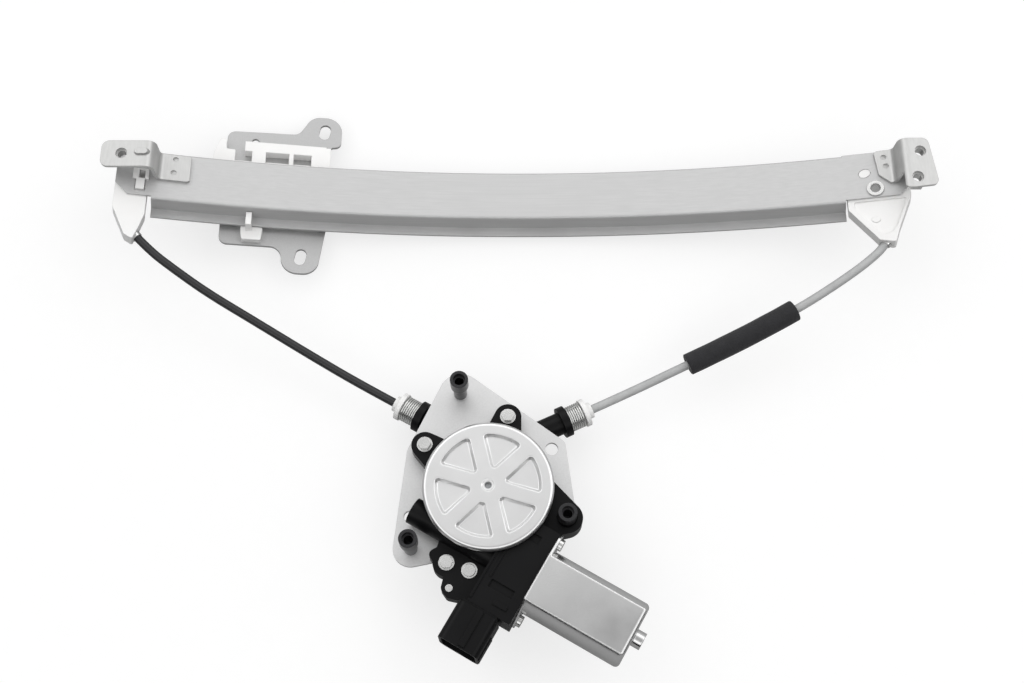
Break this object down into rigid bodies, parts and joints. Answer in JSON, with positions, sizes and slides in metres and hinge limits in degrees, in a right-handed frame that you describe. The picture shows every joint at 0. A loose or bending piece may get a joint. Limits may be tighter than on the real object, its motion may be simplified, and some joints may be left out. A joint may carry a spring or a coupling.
{
  "type": "window regulator",
  "caption": "Cable window regulator: a curved hat-section guide rail with a glass carrier, cable conduits and a worm-geared motor with a cable drum.",
  "frame": {"origin": "centre of the drum housing's back face, on the cable drum's axis", "axes": "+X along the guide rail, +Y from the motor to the rail, +Z out of the housing's back face towards the cabin side"},
  "size_m": [0.4812, 0.3414, 0.0563],
  "materials": {
    "rail_steel": "zinc-plated sheet steel, satin",
    "plate_steel": "zinc-plated sheet steel, matt",
    "fastener_steel": "zinc-plated, satin",
    "white_plastic": "acetal, natural white",
    "black_plastic": "glass-filled plastic, fine grain",
    "cover_metal": "light silver, satin",
    "can_steel": "zinc-plated deep-drawn steel, satin",
    "standoff_steel": "black phosphate, satin",
    "black_sheath": "extruded sheath, satin",
    "grey_sheath": "extruded sheath, satin",
    "foam": "closed-cell foam, dull",
    "spring_steel": "zinc-plated wire, bright",
    "cable_steel": "galvanised strand, greased",
    "ferrule_metal": "zinc-plated, satin",
    "shaft_steel": "ground steel",
    "core_steel": "stacked laminations, varnished",
    "copper": "enamelled and bare copper",
    "bronze": "sintered bronze",
    "carbon": "pressed carbon",
    "ferrite": "ferrite, matt",
    "terminal_brass": "tinned brass"
  },
  "bodies": {
    "regulator": {"armature_bushes": "bronze", "brush_card": "black_plastic", "brushes": "carbon", "can_screws": "fastener_steel", "case_rivet": "fastener_steel", "conduit_ferrules": "ferrule_metal", "connector_housing": "black_plastic", "connector_terminals": "terminal_brass", "drum_housing": "black_plastic", "foam_sleeve": "foam", "gear_case": "black_plastic", "gear_cover": "cover_metal", "guide_rail": "rail_steel", "guide_rivet": "fastener_steel", "housing_screws": "fastener_steel", "left_bracket": "rail_steel", "left_cable_guide": "white_plastic", "left_conduit": "black_sheath", "left_tension_spring": "spring_steel", "lift_cable": "cable_steel", "locating_pin": "fastener_steel", "magnets": "ferrite", "motor_can": "can_steel", "motor_plate": "plate_steel", "outlet_cables": "cable_steel", "plate_standoffs": "standoff_steel", "right_bracket": "rail_steel", "right_cable_guide": "white_plastic", "right_conduit": "grey_sheath", "right_tension_spring": "spring_steel", "weld_nuts": "fastener_steel"},
    "armature": {"armature_shaft": "shaft_steel", "armature_core": "core_steel", "armature_windings": "copper", "commutator": "copper"},
    "drum": {"cable_drum": "white_plastic", "drum_windings": "cable_steel", "output_shaft": "shaft_steel", "worm_wheel": "white_plastic"},
    "carrier": {"carrier_plate": "plate_steel", "slider": "white_plastic", "cable_nipple": "ferrule_metal"},
    "left_cap": {"left_spring_cap": "white_plastic"},
    "right_cap": {"right_spring_cap": "white_plastic"}
  },
  "joints": [
    {"name": "armature_spin", "type": "hinge", "parent": "regulator", "child": "armature", "pos_m": [-0.0144, -0.02494, 0.031], "axis": [0.866, -0.5, 0], "range_deg": [-4240, 33490]},
    {"name": "drum_spin", "type": "hinge", "parent": "regulator", "child": "drum", "pos_m": [0, 0, 0.02], "axis": [0, 0, 1], "range_deg": [-88.4, 697.8]},
    {"name": "carrier_travel", "type": "hinge", "parent": "regulator", "child": "carrier", "pos_m": [0.017, 0.18975, 0.9365], "axis": [0, -1, 0], "range_deg": [-2.36, 18.62]},
    {"name": "left_cap_slide", "type": "slide", "parent": "regulator", "child": "left_cap", "axis": [-0.8755, 0.4833, 0], "range_m": [-0.0016, 0], "stiffness_N_per_m": 8000, "deforming": ["left_tension_spring"]},
    {"name": "right_cap_slide", "type": "slide", "parent": "regulator", "child": "right_cap", "axis": [0.907, 0.421, 0], "range_m": [-0.0016, 0], "stiffness_N_per_m": 8000, "deforming": ["right_tension_spring"]}
  ],
  "couplings": [
    {"joint": "drum_spin", "follows": "armature_spin", "ratio": 0.020833},
    {"joint": "carrier_travel", "follows": "armature_spin", "ratio": 0.00055585}
  ]
}
